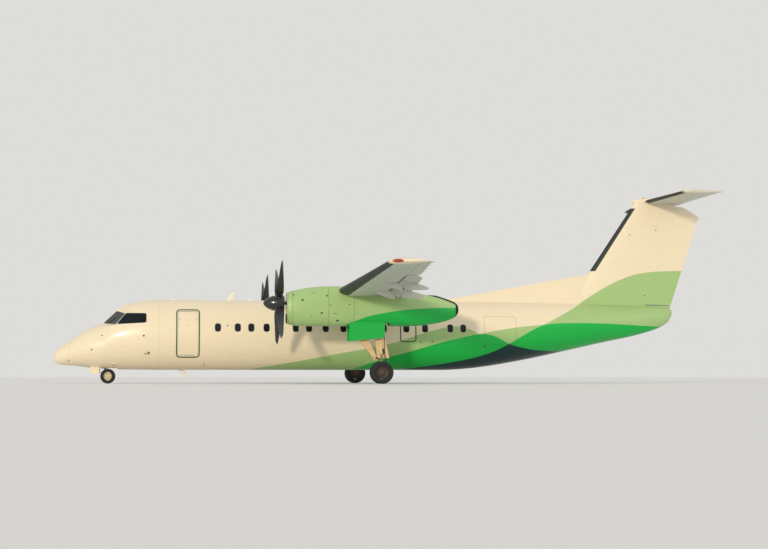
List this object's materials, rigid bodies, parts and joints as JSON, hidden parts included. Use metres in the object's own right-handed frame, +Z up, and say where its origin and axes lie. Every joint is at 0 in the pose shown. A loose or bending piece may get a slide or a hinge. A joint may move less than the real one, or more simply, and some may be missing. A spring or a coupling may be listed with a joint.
{
  "type": "turboprop airliner",
  "caption": "High-wing regional airliner with a T tail, wing-mounted propeller engines and a folding airstair door, parked on its landing gear.",
  "frame": {"origin": "on the ground under the centre of the box that holds the aircraft", "axes": "+X runs aft from the nose, +Y to starboard along the wing, +Z up"},
  "size_m": [25.68, 27.43, 7.49],
  "materials": {
    "paint_cream": "gloss polyurethane airliner paint, warm off-white",
    "paint_pale_green": "gloss polyurethane airliner paint, pale green",
    "paint_bright_green": "gloss polyurethane airliner paint, bright green",
    "paint_grey": "satin grey wing paint",
    "radome_shell": "painted glass-fibre radome",
    "blade_black": "black erosion coat on a composite blade",
    "spinner_black": "gloss black paint",
    "exhaust_metal": "heat-darkened steel",
    "engine_steel": "plain block in place of the engine",
    "leg_paint": "gloss paint on forged legs",
    "hub_paint": "brown-grey brake dust over wheel paint",
    "nose_hub_paint": "cream wheel paint",
    "tyre": "aircraft tyre rubber",
    "glazing": "laminated flight deck glazing"
  },
  "bodies": {
    "airframe": {"fuselage": "paint_cream", "radome": "radome_shell", "wing_fairing": "paint_cream", "wing_center": "paint_grey", "fin": "paint_cream", "tailplane": "paint_grey", "fin_bullet": "paint_cream", "nose_leg": "leg_paint", "windscreen_left": "glazing", "side_window_left": "glazing", "wing_left": "paint_grey", "cowl_left": "paint_pale_green", "engine_left": "engine_steel", "nacelle_left": "paint_bright_green", "exhaust_left": "exhaust_metal", "main_leg_left": "leg_paint", "main_gear_door_inner_left": "paint_bright_green", "main_gear_door_outer_left": "paint_bright_green", "nose_gear_door_left": "leg_paint", "windscreen_right": "glazing", "side_window_right": "glazing", "wing_right": "paint_grey", "cowl_right": "paint_pale_green", "engine_right": "engine_steel", "nacelle_right": "paint_bright_green", "exhaust_right": "exhaust_metal", "main_leg_right": "leg_paint", "main_gear_door_inner_right": "paint_bright_green", "main_gear_door_outer_right": "paint_bright_green", "nose_gear_door_right": "leg_paint"},
    "airstair_door": {"airstair_door": "paint_cream"},
    "nose_steering": {"nose_fork": "leg_paint"},
    "nose_wheels": {"nose_axle_hubs": "nose_hub_paint", "nose_tyre_left": "tyre", "nose_tyre_right": "tyre"},
    "rudder": {"rudder": "paint_cream"},
    "rudder_tab": {"rudder_tab": "paint_cream"},
    "main_wheels_left": {"main_axle_hubs_left": "hub_paint", "main_tyre_inner_left": "tyre", "main_tyre_outer_left": "tyre"},
    "propeller_left": {"propeller_left": "blade_black", "spinner_left": "spinner_black"},
    "flap_inner_left": {"flap_inner_left": "paint_grey"},
    "flap_outer_left": {"flap_outer_left": "paint_grey"},
    "aileron_left": {"aileron_left": "paint_grey"},
    "elevator_left": {"elevator_left": "paint_grey"},
    "main_wheels_right": {"main_axle_hubs_right": "hub_paint", "main_tyre_inner_right": "tyre", "main_tyre_outer_right": "tyre"},
    "propeller_right": {"propeller_right": "blade_black", "spinner_right": "spinner_black"},
    "flap_inner_right": {"flap_inner_right": "paint_grey"},
    "flap_outer_right": {"flap_outer_right": "paint_grey"},
    "aileron_right": {"aileron_right": "paint_grey"},
    "elevator_right": {"elevator_right": "paint_grey"}
  },
  "joints": [
    {"name": "nose_steer", "type": "hinge", "parent": "airframe", "child": "nose_steering", "pos_m": [-10.94, 0, 0.28], "axis": [0.1736, 0, 0.9848], "range_deg": [-60, 60]},
    {"name": "nose_wheel_roll", "type": "hinge", "parent": "nose_steering", "child": "nose_wheels", "pos_m": [-10.79, 0, 0.28], "axis": [0, 1, 0], "continuous": true},
    {"name": "main_wheel_roll_left", "type": "hinge", "parent": "airframe", "child": "main_wheels_left", "pos_m": [-0.78, -3.94, 0.41], "axis": [0, 1, 0], "continuous": true},
    {"name": "main_wheel_roll_right", "type": "hinge", "parent": "airframe", "child": "main_wheels_right", "pos_m": [-0.78, 3.94, 0.41], "axis": [0, 1, 0], "continuous": true},
    {"name": "propeller_turn_left", "type": "hinge", "parent": "airframe", "child": "propeller_left", "pos_m": [-4.54, -3.94, 2.93], "axis": [1, 0, 0], "continuous": true},
    {"name": "propeller_turn_right", "type": "hinge", "parent": "airframe", "child": "propeller_right", "pos_m": [-4.54, 3.94, 2.93], "axis": [1, 0, 0], "continuous": true},
    {"name": "door_fold", "type": "hinge", "parent": "airframe", "child": "airstair_door", "pos_m": [-7.78, -1.1, 1.045], "axis": [1, 0, 0], "range_deg": [0, 125]},
    {"name": "flap_inner_travel_left", "type": "hinge", "parent": "airframe", "child": "flap_inner_left", "pos_m": [-0.5012, -1.5, 2.96], "axis": [0, 1, 0], "range_deg": [-15, 20]},
    {"name": "flap_inner_travel_right", "type": "hinge", "parent": "airframe", "child": "flap_inner_right", "pos_m": [-0.5012, 1.5, 2.96], "axis": [0, 1, 0], "range_deg": [-15, 20]},
    {"name": "flap_outer_travel_left", "type": "hinge", "parent": "airframe", "child": "flap_outer_left", "pos_m": [-0.5053, -4.6, 2.9665], "axis": [0.0409, 0.997, -0.0653], "range_deg": [-15, 20]},
    {"name": "flap_outer_travel_right", "type": "hinge", "parent": "airframe", "child": "flap_outer_right", "pos_m": [-0.5053, 4.6, 2.9665], "axis": [-0.0409, 0.997, 0.0653], "range_deg": [-15, 20]},
    {"name": "aileron_travel_left", "type": "hinge", "parent": "airframe", "child": "aileron_left", "pos_m": [-0.7491, -10.12, 3.6368], "axis": [0.0397, 0.9983, -0.0436], "range_deg": [-20, 20]},
    {"name": "aileron_travel_right", "type": "hinge", "parent": "airframe", "child": "aileron_right", "pos_m": [-0.7491, 10.12, 3.6368], "axis": [-0.0397, 0.9983, 0.0436], "range_deg": [-20, 20]},
    {"name": "elevator_travel_left", "type": "hinge", "parent": "airframe", "child": "elevator_left", "pos_m": [11.6611, -0.17, 7.32], "axis": [-0.057, 0.9984, 0], "range_deg": [-25, 15]},
    {"name": "elevator_travel_right", "type": "hinge", "parent": "airframe", "child": "elevator_right", "pos_m": [11.6611, 0.17, 7.32], "axis": [0.057, 0.9984, 0], "range_deg": [-25, 15]},
    {"name": "rudder_travel", "type": "hinge", "parent": "airframe", "child": "rudder", "pos_m": [10.53, 0, 3.16], "axis": [0.323, 0, 0.9464], "range_deg": [-18, 18]},
    {"name": "rudder_tab_travel", "type": "hinge", "parent": "rudder", "child": "rudder_tab", "pos_m": [11.1386, 0, 3.16], "axis": [0.3221, 0, 0.9467], "range_deg": [-18, 18]}
  ],
  "couplings": [
    {"joint": "flap_inner_travel_right", "follows": "flap_inner_travel_left", "ratio": 1},
    {"joint": "flap_outer_travel_left", "follows": "flap_inner_travel_left", "ratio": 1},
    {"joint": "flap_outer_travel_right", "follows": "flap_inner_travel_left", "ratio": 1},
    {"joint": "aileron_travel_right", "follows": "aileron_travel_left", "ratio": -1},
    {"joint": "elevator_travel_right", "follows": "elevator_travel_left", "ratio": 1},
    {"joint": "rudder_tab_travel", "follows": "rudder_travel", "ratio": 1}
  ]
}
